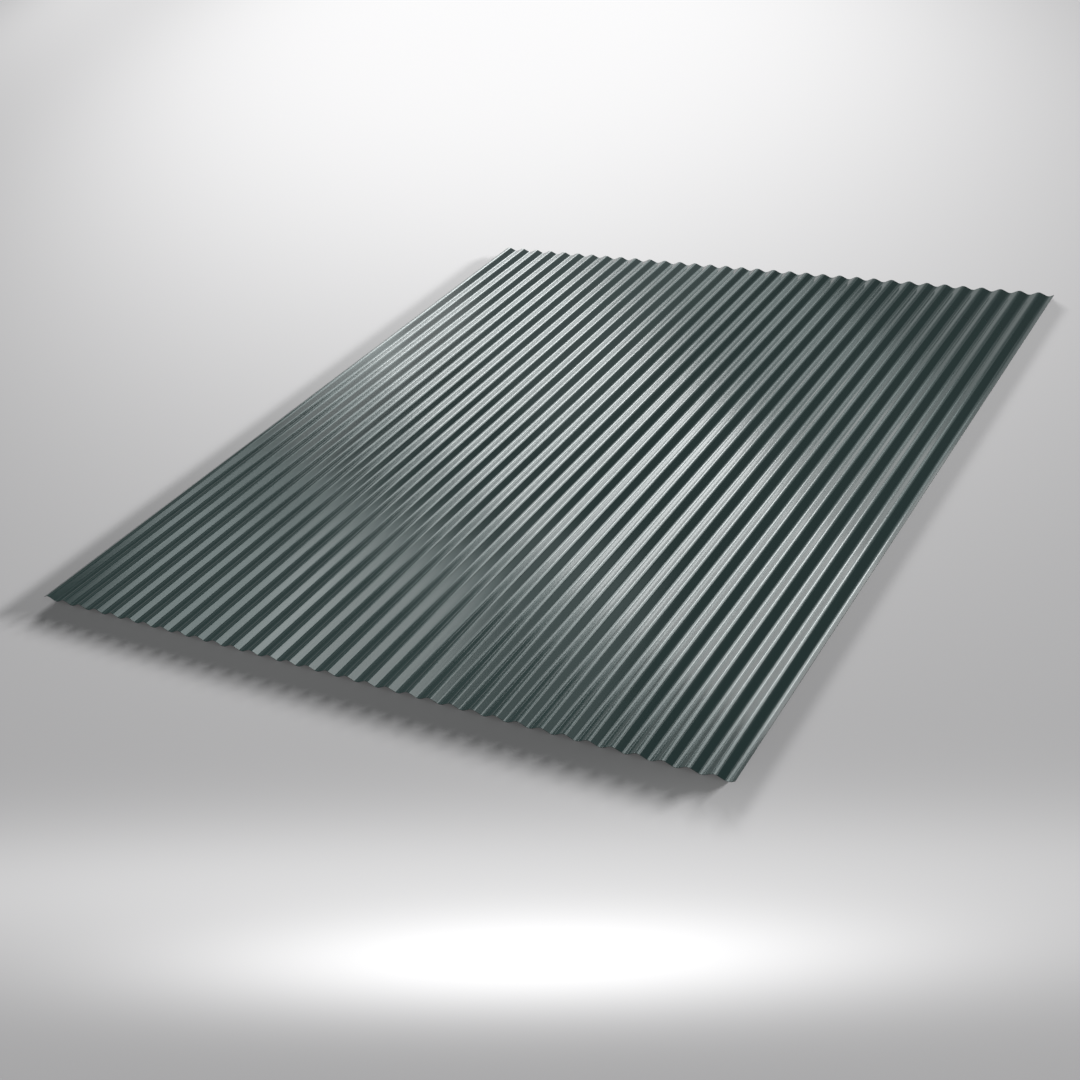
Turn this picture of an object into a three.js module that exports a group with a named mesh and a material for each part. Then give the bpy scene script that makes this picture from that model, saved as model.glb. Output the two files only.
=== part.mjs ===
// Corrugated steel cladding sheet: one flat strip, cold-rolled into small round waves.
//
// Millimetres, +Z up. X runs across the waves and Y along the ridges.
// The sheet lies flat on its valleys. The origin is under the middle of its footprint,
// on the level that the valleys rest on.
//
// The section is a chain of equal bends, crest and valley in turn. Each bend is an arc,
// and a straight flank joins it to the next one, tangent to both arcs. The first side
// edge is turned down past the first crest, and laps over the neighbouring sheet. The
// last side edge is turned up past the last valley, and lies under the next sheet.

import * as THREE from 'three';

const SHEET_LENGTH = 1290;    // along the ridges, from cut end to cut end
const SHEET_THICKNESS = 0.5;  // steel with its paint
const WAVE_PITCH = 32;        // crest to crest
const WAVE_DEPTH = 5.5;       // valley to crest, at the middle of the thickness
const BEND_RADIUS = 10;       // of crests and valleys, at the middle of the thickness
const CREST_COUNT = 34;       // each crest has a valley to its right
const OVERLAP_LIP = 8;        // width of the strip past the first crest, turned down
const UNDERLAP_LIP = 9;       // width of the strip past the last valley, turned up

const BEND_FACETS = 7;        // flats along an arc: an odd number puts a level one at its middle

const halfPitch = WAVE_PITCH / 2;
const wave = tangentWave(halfPitch, WAVE_DEPTH, BEND_RADIUS);

/**
 * Two equal arcs, a crest and a valley, and the straight flank that touches both.
 * The radius is at most that of a wave of arcs alone, whose flanks have no length.
 */
function tangentWave(run, rise, wantedRadius) {
  const arcsOnlyRadius = (run ** 2 + rise ** 2) / (4 * rise);
  const radius = Math.min(wantedRadius, arcsOnlyRadius);
  const centreRise = 2 * radius - rise;
  const flankLength = Math.sqrt(Math.max(0, run ** 2 + rise ** 2 - 4 * radius * rise));
  const flankAngle = Math.atan2(2 * radius, flankLength) - Math.atan2(centreRise, run);
  return { radius, flankAngle, centreHeight: rise / 2 - radius, arcHalfWidth: radius * Math.sin(flankAngle) };
}

/** Bend number n, counted from crest 0: even numbers are crests and odd ones valleys. */
function bendSign(n) {
  return n % 2 === 0 ? 1 : -1;
}

/** A point of the strip's middle line on bend n, at an angle from the bend's own middle. */
function stationOnBend(n, angle) {
  return {
    x: n * halfPitch + wave.radius * Math.sin(angle),
    height: bendSign(n) * (wave.centreHeight + wave.radius * Math.cos(angle)),
    slope: -bendSign(n) * angle,
  };
}

/** The point of the strip's middle line at x, on an arc or on a flank. */
function stationAt(x) {
  const n = Math.round(x / halfPitch);
  const fromBend = x - n * halfPitch;
  const pastArc = Math.abs(fromBend) - wave.arcHalfWidth;
  if (pastArc <= 0) return stationOnBend(n, Math.asin(fromBend / wave.radius));
  const arcEnd = stationOnBend(n, Math.sign(fromBend) * wave.flankAngle);
  return {
    x,
    height: arcEnd.height - bendSign(n) * pastArc * Math.tan(wave.flankAngle),
    slope: arcEnd.slope,
  };
}

/**
 * The strip's middle line from one side edge to the other, left to right. A bend's point
 * that lies within half a thickness of a side edge gives way to the edge's own point.
 */
function middleLine(left, right) {
  const edgeRoom = SHEET_THICKNESS / 2;
  const stations = [];
  const lastBend = Math.ceil(right / halfPitch);
  for (let n = Math.floor(left / halfPitch); n <= lastBend; n += 1) {
    for (let i = 0; i <= BEND_FACETS; i += 1) {
      stations.push(stationOnBend(n, wave.flankAngle * (2 * i / BEND_FACETS - 1)));
    }
  }
  const inside = (station) => station.x > left + edgeRoom && station.x < right - edgeRoom;
  return [stationAt(left), ...stations.filter(inside), stationAt(right)];
}

/** The point half a thickness from a station, square to the strip: side 1 is the top. */
function facePoint(station, side) {
  const offset = side * SHEET_THICKNESS / 2;
  return new THREE.Vector2(
    station.x - offset * Math.sin(station.slope),
    station.height + offset * Math.cos(station.slope),
  );
}

/** The strip's section, one thickness all along, with its side edges cut square. */
function sheetSection() {
  const lastValley = (2 * CREST_COUNT - 1) * halfPitch;
  const stations = middleLine(-OVERLAP_LIP, lastValley + UNDERLAP_LIP);
  const underside = stations.map((station) => facePoint(station, -1));
  const top = stations.map((station) => facePoint(station, 1)).reverse();
  return new THREE.Shape([...underside, ...top]);
}

/** The whole sheet: its section, drawn out along the ridges and laid on its valleys. */
function corrugatedSheet() {
  const geometry = new THREE.ExtrudeGeometry(sheetSection(), { depth: SHEET_LENGTH, bevelEnabled: false });
  geometry.computeBoundingBox();
  const { min, max } = geometry.boundingBox;
  const paint = new THREE.MeshStandardMaterial({ color: 0x283938, roughness: 0.15, metalness: 0 });
  const sheet = new THREE.Mesh(geometry, paint);
  sheet.name = 'corrugated_sheet';
  sheet.rotation.x = Math.PI / 2;
  sheet.position.set(-(min.x + max.x) / 2, SHEET_LENGTH / 2, -min.y);
  return sheet;
}

const group = new THREE.Group();
group.add(corrugatedSheet());

export default group;
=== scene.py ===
import bpy
import numpy as np
from mathutils import Matrix, Quaternion, Vector


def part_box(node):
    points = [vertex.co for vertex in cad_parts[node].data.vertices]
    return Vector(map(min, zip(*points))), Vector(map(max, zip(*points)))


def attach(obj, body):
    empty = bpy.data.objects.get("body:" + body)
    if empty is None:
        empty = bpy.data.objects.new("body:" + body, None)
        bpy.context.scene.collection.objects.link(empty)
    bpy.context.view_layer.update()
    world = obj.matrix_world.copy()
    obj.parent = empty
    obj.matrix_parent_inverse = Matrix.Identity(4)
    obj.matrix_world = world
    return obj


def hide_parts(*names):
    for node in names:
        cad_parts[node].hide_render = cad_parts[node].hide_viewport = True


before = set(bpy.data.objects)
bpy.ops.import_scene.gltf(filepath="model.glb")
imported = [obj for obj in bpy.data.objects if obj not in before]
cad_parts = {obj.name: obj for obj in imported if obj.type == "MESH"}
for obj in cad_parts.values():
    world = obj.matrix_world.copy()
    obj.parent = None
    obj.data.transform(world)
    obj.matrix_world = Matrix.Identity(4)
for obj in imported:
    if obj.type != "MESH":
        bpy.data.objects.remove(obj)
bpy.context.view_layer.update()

# ---------------------------------------------------------------------------------------
# The camera stands off the sheet's near right corner, a little over a metre above the
# floor, and looks down across the waves. It is turned slightly about its line of sight.

CAMERA_PLACE = Vector((1.1395, -1.7559, 1.1291))
CAMERA_AIM = Vector((0.0846, -0.2875, 0.0033))
CAMERA_ROLL = -9.736            # degrees, about the line of sight
CAMERA_LENS = 50.67             # mm
CAMERA_SENSOR = 36              # mm wide
CAMERA_NEAREST, CAMERA_FARTHEST = 0.05, 200     # metres

camera = bpy.data.objects.new("camera", bpy.data.cameras.new("camera"))
camera.data.lens = CAMERA_LENS
camera.data.sensor_width = CAMERA_SENSOR
camera.data.clip_start = CAMERA_NEAREST
camera.data.clip_end = CAMERA_FARTHEST
line_of_sight = (CAMERA_AIM - CAMERA_PLACE).to_track_quat("-Z", "Y")
roll = Quaternion((0, 0, 1), np.radians(CAMERA_ROLL))
camera.location = CAMERA_PLACE
camera.rotation_mode = "QUATERNION"
camera.rotation_quaternion = line_of_sight @ roll
bpy.context.scene.collection.objects.link(camera)
bpy.context.scene.camera = camera

# ---------------------------------------------------------------------------------------
# The sheet: one strip of steel, 0.5 mm thick with its paint, cold-rolled into small round
# waves along its length and sheared square at both ends. Nothing is fixed to it.

MM = 0.001
THICKNESS = 0.5 * MM
WAVE_PITCH = 32 * MM
WAVE_DEPTH = 5.5 * MM           # valley to crest, at the middle of the thickness
BEND_RADIUS = 10 * MM           # of crests and valleys, at the middle of the thickness
CREST_COUNT = 34                # each crest has a valley to its right
OVERLAP_LIP = 8 * MM            # width of the strip past the first crest, turned down
UNDERLAP_LIP = 9 * MM           # width of the strip past the last valley, turned up
EDGE_ROUND = 0.06 * MM          # how much of a cut edge's corners the shears press round
ARC_STEPS = 14                  # facets along one bend
RING_COUNT = 9                  # full outlines from end to end, between the drawn-in ones
SHARP_ANGLE = 30                # degrees: faces that meet at more keep a sharp edge

half_pitch = WAVE_PITCH / 2
half_thickness = THICKNESS / 2


def flank_angle():
    """The angle of the straight flank that touches a crest arc and a valley arc half a
    pitch apart. Its length squared is run squared plus depth squared less four radii
    times the depth, and two radii and that length are the sides of a right triangle."""
    two_radii = 2 * BEND_RADIUS
    flank_squared = half_pitch**2 + WAVE_DEPTH**2 - 2 * two_radii * WAVE_DEPTH
    flank = np.sqrt(max(0.0, flank_squared))
    return np.arctan2(two_radii, flank) - np.arctan2(two_radii - WAVE_DEPTH, half_pitch)


def middle_line(left, right):
    """The strip's middle line, as arrays of x, height and slope, with crest 0 at x = 0. On
    bend n, at an angle a from the bend's own middle, x is n half pitches plus R sin a and
    the height is the arc centre's plus R cos a, upside down in a valley. Straight flanks
    join the bends. Both side edges have two points, for the rounded corners there."""
    first, last = np.floor(left / half_pitch), np.ceil(right / half_pitch)
    bends = np.arange(first, last + 1)[:, None]
    angle = flank_angle() * np.linspace(-1, 1, ARC_STEPS + 1)
    sign = np.where(bends % 2 == 0, 1, -1)
    arc_height = WAVE_DEPTH / 2 - BEND_RADIUS + BEND_RADIUS * np.cos(angle)
    x = (bends * half_pitch + BEND_RADIUS * np.sin(angle)).ravel()
    height, slope = (sign * arc_height).ravel(), (-sign * angle).ravel()
    inside = x[(x > left + half_thickness) & (x < right - half_thickness)]
    stations = np.concatenate(([left, left], inside, [right, right]))
    return stations, np.interp(stations, x, height), np.interp(stations, x, slope)


def strip_outline(line, inset):
    """The closed outline of the strip's section: underside points from left to right, then
    top points from right to left. Each lies half a thickness, less the inset, square to
    the middle line. The side edges draw in by the inset, and their corners are cut off."""
    x, height, slope = line
    along = np.zeros_like(x)
    along[:2] = inset, inset + EDGE_ROUND
    along[-2:] = -inset - EDGE_ROUND, -inset
    reach = np.full_like(x, half_thickness - inset)
    reach[[0, -1]] -= EDGE_ROUND
    middle = np.stack((x + along * np.cos(slope), height + along * np.sin(slope)), axis=1)
    across = np.stack((-np.sin(slope), np.cos(slope)), axis=1) * reach[:, None]
    return np.concatenate((middle - across, (middle + across)[::-1]))


def shell_through(rings, outlines):
    """Vertices and quads of a closed shell through one outline for each ring, and how many
    quads one end has. Walls join neighbouring rings, and each quad of an end joins two
    underside points to the two top points above them."""
    count = len(outlines[0])
    points = np.empty((len(rings), count, 3))
    points[:, :, [0, 2]] = outlines
    points[:, :, 1] = np.array(rings)[:, None]
    ring, step = np.meshgrid(np.arange(len(rings) - 1), np.arange(count), indexing="ij")
    a, b = ring * count + step, ring * count + (step + 1) % count
    walls = np.stack((a, b, b + count, a + count), axis=-1).reshape(-1, 4)
    under = np.arange(count // 2 - 1)
    near = np.stack((under, count - 1 - under, count - 2 - under, under + 1), axis=-1)
    far = near[:, ::-1] + (len(rings) - 1) * count
    return points.reshape(-1, 3), np.concatenate((walls, near, far)), len(near)


sheet_low, sheet_high = (np.array(corner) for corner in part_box("corrugated_sheet"))
last_valley = (2 * CREST_COUNT - 1) * half_pitch
line = middle_line(-OVERLAP_LIP, last_valley + UNDERLAP_LIP)
full, drawn_in = strip_outline(line, 0), strip_outline(line, EDGE_ROUND)
middle_x = (sheet_low[0] + sheet_high[0]) / 2
shift = np.array([middle_x - (full[:, 0].min() + full[:, 0].max()) / 2, -full[:, 1].min()])
near_end, far_end = sheet_low[1], sheet_high[1]
inner_rings = np.linspace(near_end + EDGE_ROUND, far_end - EDGE_ROUND, RING_COUNT)
rings = [near_end, *inner_rings, far_end]
outlines = [drawn_in + shift, *[full + shift] * RING_COUNT, drawn_in + shift]
vertices, quads, end_quads = shell_through(rings, outlines)

sheet_mesh = bpy.data.meshes.new("corrugated_sheet_skin")
sheet_mesh.from_pydata(vertices, [], quads)
sheet_mesh.shade_smooth()
sheet_mesh.set_sharp_from_angle(angle=np.radians(SHARP_ANGLE))
sheet = bpy.data.objects.new("sheet_skin", sheet_mesh)
bpy.context.scene.collection.objects.link(sheet)
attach(sheet, "root")
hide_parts("corrugated_sheet")

# ---------------------------------------------------------------------------------------
# The top coat: a polyester coil coating, rolled on while the strip was flat and baked. It
# is semi-gloss, so the waves mirror the lights as long bands. Forming rolls have left faint
# lines along the ridges, over a fine orange peel and a slow change of tone along the coil.

COAT_COLOUR = "#283B3A"
COAT_SHADE = "#253736"          # where the coat is a little thicker
COAT_ROUGHNESS = (0.085, 0.115)     # at its smoothest and at its roughest
POLYESTER_IOR = 1.5
TONE_SIZE = (80 * MM, 650 * MM, 80 * MM)        # streaks of the coating roller
# Real roll lines are under 1 mm apart, too fine to show. These are wider, and deeper.
ROLL_LINE_SIZE = (3 * MM, 400 * MM, 3 * MM)
ROLL_LINE_DEPTH = 0.010 * MM
PEEL_SIZE = (2.5 * MM, 2.5 * MM, 2.5 * MM)      # orange peel at its real size
PEEL_DEPTH = 0.001 * MM

# A Mix node repeats the names of its sockets, so its colours are reached by number.
FIRST_COLOUR, SECOND_COLOUR, MIXED_COLOUR = 6, 7, 2
# Nearly all of a blotchy pattern's brightness lies between these two values.
BLOTCH_RANGE = {"From Min": 0.3, "From Max": 0.7}


def linear(hex_colour):
    """An sRGB hex colour as linear red, green, blue and alpha."""
    srgb = np.array([int(hex_colour[i:i + 2], 16) for i in (1, 3, 5)]) / 255
    below, above = srgb / 12.92, ((srgb + 0.055) / 1.055) ** 2.4
    return (*np.where(srgb <= 0.04045, below, above), 1.0)


def add_node(tree, kind, sockets=None, **settings):
    """Adds a node. settings are its properties. sockets are its inputs, by name or number:
    each takes a value, or a link from another node's output."""
    node = tree.nodes.new(kind)
    for name, value in settings.items():
        setattr(node, name, value)
    for name, value in (sockets or {}).items():
        if isinstance(value, bpy.types.NodeSocket):
            tree.links.new(value, node.inputs[name])
        else:
            node.inputs[name].default_value = value
    return node


def new_material(name):
    """An empty node material, its tree and its output's surface socket."""
    material = bpy.data.materials.new(name)
    material.use_nodes = True
    tree = material.node_tree
    tree.nodes.clear()
    return material, tree, tree.nodes.new("ShaderNodeOutputMaterial").inputs["Surface"]


def blotches(tree, size, octaves):
    """A soft uneven pattern over the object. Its blotches are size metres long along X, Y
    and Z, and each octave past the first lays blotches half as long over them."""
    place = add_node(tree, "ShaderNodeTexCoord").outputs["Object"]
    counted = add_node(tree, "ShaderNodeMapping", {
        "Vector": place, "Scale": [1 / length for length in size]})
    noise = add_node(tree, "ShaderNodeTexNoise", {
        "Vector": counted.outputs[0], "Scale": 1, "Detail": octaves - 1})
    return noise.outputs[0]


top_coat, tree, surface = new_material("polyester_top_coat")
tone = add_node(tree, "ShaderNodeMix", {
    "Factor": blotches(tree, TONE_SIZE, octaves=3),
    FIRST_COLOUR: linear(COAT_COLOUR),
    SECOND_COLOUR: linear(COAT_SHADE)}, data_type="RGBA")
roll_lines = blotches(tree, ROLL_LINE_SIZE, octaves=3)
roughness = add_node(tree, "ShaderNodeMapRange", {
    **BLOTCH_RANGE, "Value": roll_lines,
    "To Min": COAT_ROUGHNESS[0], "To Max": COAT_ROUGHNESS[1]})
lines = add_node(tree, "ShaderNodeBump", {
    "Height": roll_lines, "Strength": 1, "Distance": ROLL_LINE_DEPTH})
peel = add_node(tree, "ShaderNodeBump", {
    "Height": blotches(tree, PEEL_SIZE, octaves=2), "Strength": 1, "Distance": PEEL_DEPTH,
    "Normal": lines.outputs[0]})
coat = add_node(tree, "ShaderNodeBsdfPrincipled", {
    "Base Color": tone.outputs[MIXED_COLOUR], "Roughness": roughness.outputs[0],
    "Normal": peel.outputs[0], "IOR": POLYESTER_IOR})
tree.links.new(coat.outputs[0], surface)

# ---------------------------------------------------------------------------------------
# The backing coat: a thin grey epoxy primer on the underside, matt, with no colour coat
# over it. It lies unevenly, in soft patches a few centimetres long.

BACKING_COLOUR, BACKING_SHADE = "#A7ABA8", "#9A9F9C"
BACKING_ROUGHNESS = (0.46, 0.56)    # at its smoothest and at its roughest
PATCH_SIZE = (15 * MM, 60 * MM, 15 * MM)        # where the thin primer pooled
GRAIN_SIZE = (1.5 * MM, 1.5 * MM, 1.5 * MM)     # pigment, drawn coarser than the real 0.1 mm
GRAIN_DEPTH = 0.005 * MM

backing_coat, tree, surface = new_material("epoxy_backing_coat")
patches = blotches(tree, PATCH_SIZE, octaves=4)
tone = add_node(tree, "ShaderNodeMix", {
    "Factor": patches,
    FIRST_COLOUR: linear(BACKING_COLOUR),
    SECOND_COLOUR: linear(BACKING_SHADE)}, data_type="RGBA")
roughness = add_node(tree, "ShaderNodeMapRange", {
    **BLOTCH_RANGE, "Value": patches,
    "To Min": BACKING_ROUGHNESS[0], "To Max": BACKING_ROUGHNESS[1]})
grain = add_node(tree, "ShaderNodeBump", {
    "Height": blotches(tree, GRAIN_SIZE, octaves=3), "Strength": 1, "Distance": GRAIN_DEPTH})
coat = add_node(tree, "ShaderNodeBsdfPrincipled", {
    "Base Color": tone.outputs[MIXED_COLOUR], "Roughness": roughness.outputs[0],
    "Normal": grain.outputs[0]})
tree.links.new(coat.outputs[0], surface)

# ---------------------------------------------------------------------------------------
# The cut edges: bare zinc-coated steel where the shears went through, dull grey, paler and
# smoother in the streaks that the blade burnished across the strip's thickness.

STEEL_COLOUR, STEEL_STREAK = "#4A5150", "#6A706E"
STEEL_ROUGHNESS = (0.55, 0.35)      # between the streaks and in them
STEEL_METALLIC = 0.8                # less than 1, as zinc grows a dull skin
SCORE_SIZE = (1.2 * MM, 1.2 * MM, 12 * MM)      # along the cut: real scores are 0.1 mm apart
SCORE_DEPTH = 0.02 * MM

cut_steel, tree, surface = new_material("sheared_galvanised_steel")
scores = blotches(tree, SCORE_SIZE, octaves=3)
tone = add_node(tree, "ShaderNodeMix", {
    "Factor": scores,
    FIRST_COLOUR: linear(STEEL_COLOUR),
    SECOND_COLOUR: linear(STEEL_STREAK)}, data_type="RGBA")
roughness = add_node(tree, "ShaderNodeMapRange", {
    **BLOTCH_RANGE, "Value": scores,
    "To Min": STEEL_ROUGHNESS[0], "To Max": STEEL_ROUGHNESS[1]})
scored = add_node(tree, "ShaderNodeBump", {
    "Height": scores, "Strength": 1, "Distance": SCORE_DEPTH})
steel = add_node(tree, "ShaderNodeBsdfPrincipled", {
    "Base Color": tone.outputs[MIXED_COLOUR], "Roughness": roughness.outputs[0],
    "Normal": scored.outputs[0], "Metallic": STEEL_METALLIC})
tree.links.new(steel.outputs[0], surface)

# Each wall of the shell goes from one ring to the next along the whole outline, underside
# first. The two steps that close the outline are the side edges.
TOP, UNDERSIDE, CUT = range(3)
for material in (top_coat, backing_coat, cut_steel):
    sheet_mesh.materials.append(material)
outline_steps = len(full)
step = np.tile(np.arange(outline_steps), len(rings) - 1)
wall_finish = np.where(step < outline_steps // 2, UNDERSIDE, TOP)
wall_finish[(step == outline_steps // 2 - 1) | (step == outline_steps - 1)] = CUT
finish = np.concatenate((wall_finish, np.full(2 * end_quads, CUT))).astype(np.int32)
sheet_mesh.polygons.foreach_set("material_index", finish)
sheet_mesh.update()

# ---------------------------------------------------------------------------------------
# The studio floor: a wide round of pale matt card that the object lies on. Painted pools
# of light glow on it: a broad one behind the object, a narrow one at the far left, and a long
# one in front, which has a brighter middle.

FLOOR_RADIUS = 18.0             # metres
FLOOR_SIDES = 96
CARD_COLOUR = "#A2A1A2"
CARD_ROUGHNESS = 0.9
# Each painted pool of light: its brightness, its middle in metres, its turn in degrees, how far
# along and across it falls to 1/e, in metres, and how steeply it falls: 2 is flat-topped.
PAINTED_LIGHT_POOLS = [(0.535, (-1.658, 2.423), -53.7, (2.996, 1.429), 2),
                (0.307, (0.328, -0.899), 22.9, (0.905, 0.117), 1),
                (0.599, (0.468, -0.951), 24.1, (0.346, 0.064), 1),
                (0.256, (-4.29, 3.45), -61.5, (2.5, 0.42), 1)]


def painted_light_pool(tree, place, middle, turn, radii, steepness):
    """A smooth hump of painted light on the floor: e to the power of minus (r squared) to the
    steepness, where r is 1 on an ellipse with these radii, turned by turn degrees about its
    middle."""
    own_axes = add_node(tree, "ShaderNodeMapping", {
        "Vector": place, "Location": (*middle, 0), "Scale": (*radii, 1),
        "Rotation": (0, 0, np.radians(turn))}, vector_type="TEXTURE").outputs[0]
    r_squared = add_node(tree, "ShaderNodeVectorMath", {
        0: own_axes, 1: own_axes}, operation="DOT_PRODUCT").outputs["Value"]
    raised = add_node(tree, "ShaderNodeMath", {
        0: r_squared, 1: steepness}, operation="POWER").outputs[0]
    minus = add_node(tree, "ShaderNodeMath", {
        0: raised, 1: -1}, operation="MULTIPLY").outputs[0]
    return add_node(tree, "ShaderNodeMath", {0: minus}, operation="EXPONENT").outputs[0]


floor_mesh = bpy.data.meshes.new("floor")
around = np.linspace(0, 2 * np.pi, FLOOR_SIDES, endpoint=False)
rim = np.stack((np.cos(around), np.sin(around), np.zeros(FLOOR_SIDES)), axis=1)
floor_mesh.from_pydata(FLOOR_RADIUS * rim, [], [range(FLOOR_SIDES)])
floor = bpy.data.objects.new("floor", floor_mesh)
bpy.context.scene.collection.objects.link(floor)

# The painted pools of light are a glow that the camera, mirrors and glass see, and they shed no
# light on the object. The card under them keeps the object's shadow.
card, tree, surface = new_material("pale_matt_card")
place = add_node(tree, "ShaderNodeTexCoord").outputs["Object"]
ray = add_node(tree, "ShaderNodeLightPath").outputs
seen_or_mirrored = add_node(tree, "ShaderNodeMath", {
    0: ray["Is Camera Ray"], 1: ray["Is Glossy Ray"]}, operation="MAXIMUM").outputs[0]
looked_at = add_node(tree, "ShaderNodeMath", {
    0: seen_or_mirrored, 1: ray["Is Transmission Ray"]}, operation="MAXIMUM").outputs[0]
patches = 0.0
# Add up the painted pools of light.
for brightness, middle, turn, radii, steepness in PAINTED_LIGHT_POOLS:
    patch = painted_light_pool(tree, place, middle, turn, radii, steepness)
    patches = add_node(tree, "ShaderNodeMath", {
        0: patch, 1: brightness, 2: patches}, operation="MULTIPLY_ADD").outputs[0]
glow = add_node(tree, "ShaderNodeMath", {0: looked_at, 1: patches}, operation="MULTIPLY")
painted_light_glow = add_node(tree, "ShaderNodeEmission", {"Strength": glow.outputs[0]})
paper = add_node(tree, "ShaderNodeBsdfPrincipled", {
    "Base Color": linear(CARD_COLOUR), "Roughness": CARD_ROUGHNESS, "Specular IOR Level": 0})
both = add_node(tree, "ShaderNodeAddShader", {0: paper.outputs[0], 1: painted_light_glow.outputs[0]})
tree.links.new(both.outputs[0], surface)
floor_mesh.materials.append(card)

# ---------------------------------------------------------------------------------------
# The lights on the object: softboxes beyond its far side, which its waves mirror as long
# bands, and a broad soft light overhead. Flags keep them off the floor.

FAR = 50.0                      # metres: there every wave mirrors a softbox alike
NEUTRAL, COOL = "#FFFFFF", "#F0FFFF"
# Each softbox: the degrees that it covers across, from straight up towards +X as seen along
# the ridges, and back, from that plane towards +Y; its turn about its own middle in
# degrees; its brightness, where 1 is white card in full light; and its colour.
SOFTBOXES = {
    "left_softbox": ((-88, -61), (42.6, 50.5), -9, 1.45, NEUTRAL),
    "left_upper_softbox": ((-88, -61), (50, 56), -5, 0.87, NEUTRAL),
    "left_core_softbox": ((-72, -66), (38, 52), -8, 2.1, COOL),
    "main_softbox": ((-60, -25), (42.4, 52.8), -9, 1.85, NEUTRAL),
    "main_edge_softbox": ((-57, -53), (38, 52), -8, 1.2, NEUTRAL),
    "core_softbox": ((-45.5, -38.5), (43, 52), -9, 9.0, NEUTRAL),
    "second_core_softbox": ((-28, -21), (40, 50), -5, 2.2, NEUTRAL),
    "wide_softbox": ((-55, -7), (39.9, 50.3), -10, 3.1, COOL),
    "tall_softbox": ((-58, -20), (51, 58), -5, 1.55, COOL),
    "glow_softbox": ((-30, 3), (45, 59.8), 15, 0.43, COOL),
    "valley_softbox": ((-16, -5), (38.5, 47.5), 10, 1.9, NEUTRAL),
    "low_softbox": ((-46, -20), (26, 40), 0, 0.4, COOL),
    "near_softbox": ((-7, 8.5), (27.5, 40), 18, 2.45, COOL),
    "near_core_softbox": ((-1, 8), (31, 39.5), 18, 1.9, NEUTRAL),
    "near_low_softbox": ((-7, 3), (26, 36), 18, 1.5, COOL),
    "right_softbox": ((8, 16), (28, 45), 15, 0.85, COOL),
    "upper_softbox": ((-92, -8), (56, 66), 0, 0.17, COOL),
}
OVERHEAD_PLACE = Vector((0, -2.5, 12))      # metres
OVERHEAD_SIZE = (11, 11)                    # metres
OVERHEAD_LEVEL = 1.9
X_AXIS, Y_AXIS, Z_AXIS = Vector((1, 0, 0)), Vector((0, 1, 0)), Vector((0, 0, 1))


def lit_alone(name, receiver):
    """A collection for a light's receivers that holds one object."""
    receivers = bpy.data.collections.new(name)
    receivers.objects.link(receiver)
    return receivers


def area_light(name, place, axes, size, level, colour, receivers):
    """A flat soft light that no camera sees. axes are its own X, Y and Z, and it shines
    along -Z, on its receivers alone. An area light of brightness 1 gives off pi watts a
    square metre."""
    data = bpy.data.lights.new(name, "AREA")
    data.shape = "RECTANGLE"
    data.size, data.size_y = size
    data.energy = level * size[0] * size[1] * np.pi
    data.color = linear(colour)[:3]
    lamp = bpy.data.objects.new(name, data)
    lamp.location = place
    lamp.rotation_mode = "QUATERNION"
    lamp.rotation_quaternion = Matrix(axes).transposed().to_quaternion()
    lamp.visible_camera = False
    lamp.light_linking.receiver_collection = receivers
    bpy.context.scene.collection.objects.link(lamp)


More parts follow.
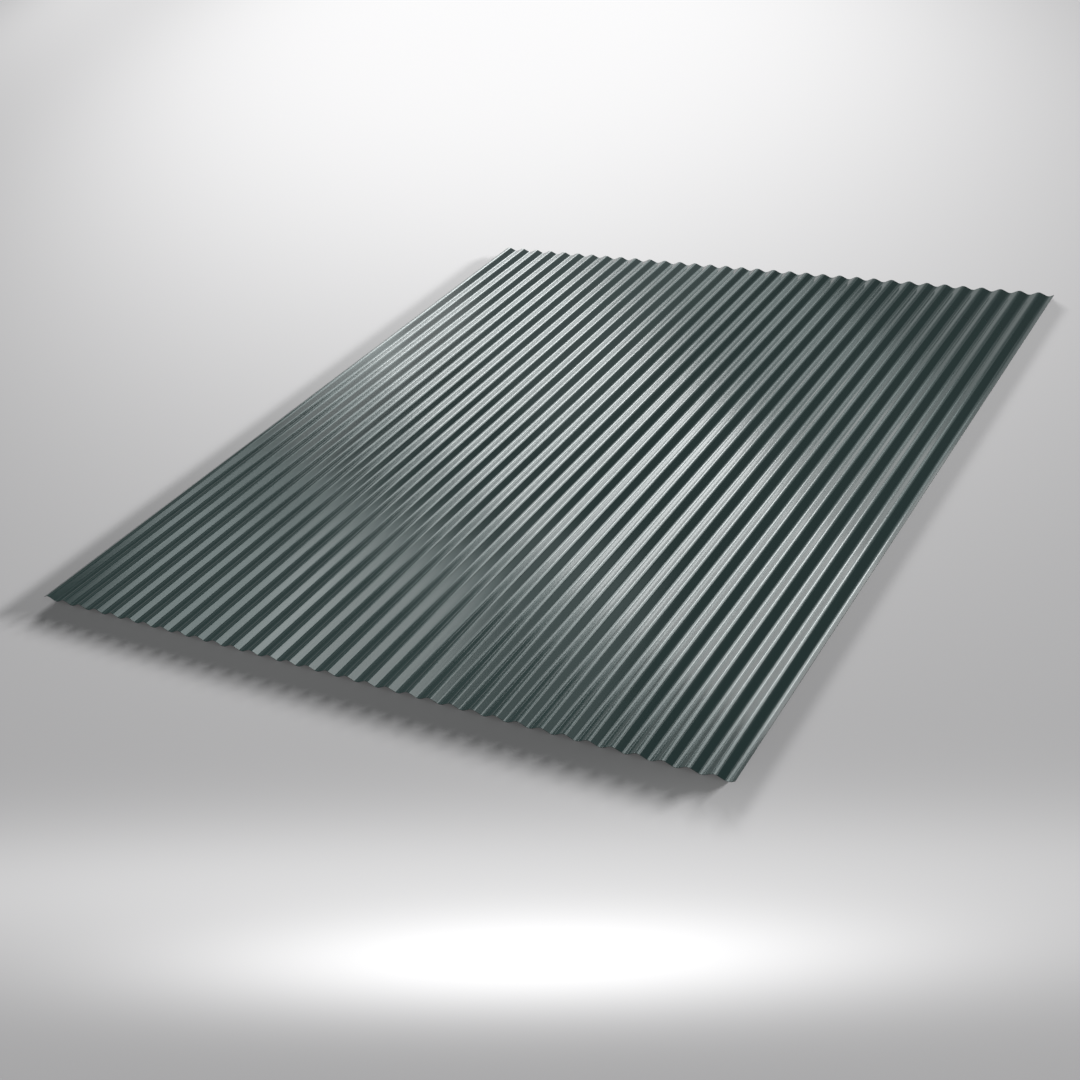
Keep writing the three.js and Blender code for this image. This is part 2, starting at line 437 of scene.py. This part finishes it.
sheet_alone = lit_alone("sheet_alone", sheet)
for name, (across, back, turn, level, colour) in SOFTBOXES.items():
    a, b = np.radians(np.mean(across)), np.radians(np.mean(back))
    towards = Vector((np.cos(b) * np.sin(a), np.sin(b), np.cos(b) * np.cos(a)))
    side = Quaternion(towards, np.radians(turn)) @ Vector((np.cos(a), 0, -np.sin(a)))
    reach = np.radians(np.ptp(across)) * np.cos(b), np.radians(np.ptp(back))
    size = [2 * FAR * np.tan(angle / 2) for angle in reach]
    axes = (side, towards.cross(side), towards)
    area_light(name, towards * FAR, axes, size, level, colour, sheet_alone)
area_light("overhead_light", OVERHEAD_PLACE, (X_AXIS, Y_AXIS, Z_AXIS), OVERHEAD_SIZE,
           OVERHEAD_LEVEL, NEUTRAL, sheet_alone)

# ---------------------------------------------------------------------------------------
# The lights on the floor: two long low strips far behind the object, which are kept off
# it. They come in so low that a sheet 6 mm high throws its shadow some 60 mm forward.

STRIP_ANGLE = 3.8               # degrees above the floor
STRIP_SIZE = (17.6, 1.05)       # metres: 20 degrees wide and 1.2 high as seen from the floor
# How far each strip stands round from +Y towards +X, in degrees, and its brightness, which
# is high because the strips are small and low: the floor ends up plainly lit.
STRIPS = {"right_strip_light": (33, 3550), "left_strip_light": (-33, 2600)}

floor_alone = lit_alone("floor_alone", floor)
for name, (bearing, level) in STRIPS.items():
    a, b = np.radians(bearing), np.radians(STRIP_ANGLE)
    towards = Vector((np.cos(b) * np.sin(a), np.cos(b) * np.cos(a), np.sin(b)))
    side = Z_AXIS.cross(towards).normalized()
    axes = (side, towards.cross(side), towards)
    area_light(name, towards * FAR, axes, STRIP_SIZE, level, NEUTRAL, floor_alone)

# ---------------------------------------------------------------------------------------
# The room: dim overhead, and paler near the level of the floor. It fades from one to the
# other between two heights, where 0 is level and 1 is straight up.

ROOM_COLOUR = "#F8FDFD"
ROOM_FADE = (0.24, 0.38)
ROOM_LEVEL = (0.45, 0.14)       # at those two heights

world = bpy.data.worlds.new("studio")
world.use_nodes = True
bpy.context.scene.world = world
tree = world.node_tree
tree.nodes.clear()
direction = add_node(tree, "ShaderNodeTexCoord").outputs["Generated"]
height = add_node(tree, "ShaderNodeSeparateXYZ", {"Vector": direction}).outputs["Z"]
fade = add_node(tree, "ShaderNodeMapRange", {
    "Value": height, "From Min": ROOM_FADE[0], "From Max": ROOM_FADE[1],
    "To Min": ROOM_LEVEL[0], "To Max": ROOM_LEVEL[1]}, interpolation_type="SMOOTHSTEP")
room = add_node(tree, "ShaderNodeBackground", {
    "Color": linear(ROOM_COLOUR), "Strength": fade.outputs[0]})
add_node(tree, "ShaderNodeOutputWorld", {"Surface": room.outputs[0]})

bpy.context.scene.view_settings.view_transform = "Standard"
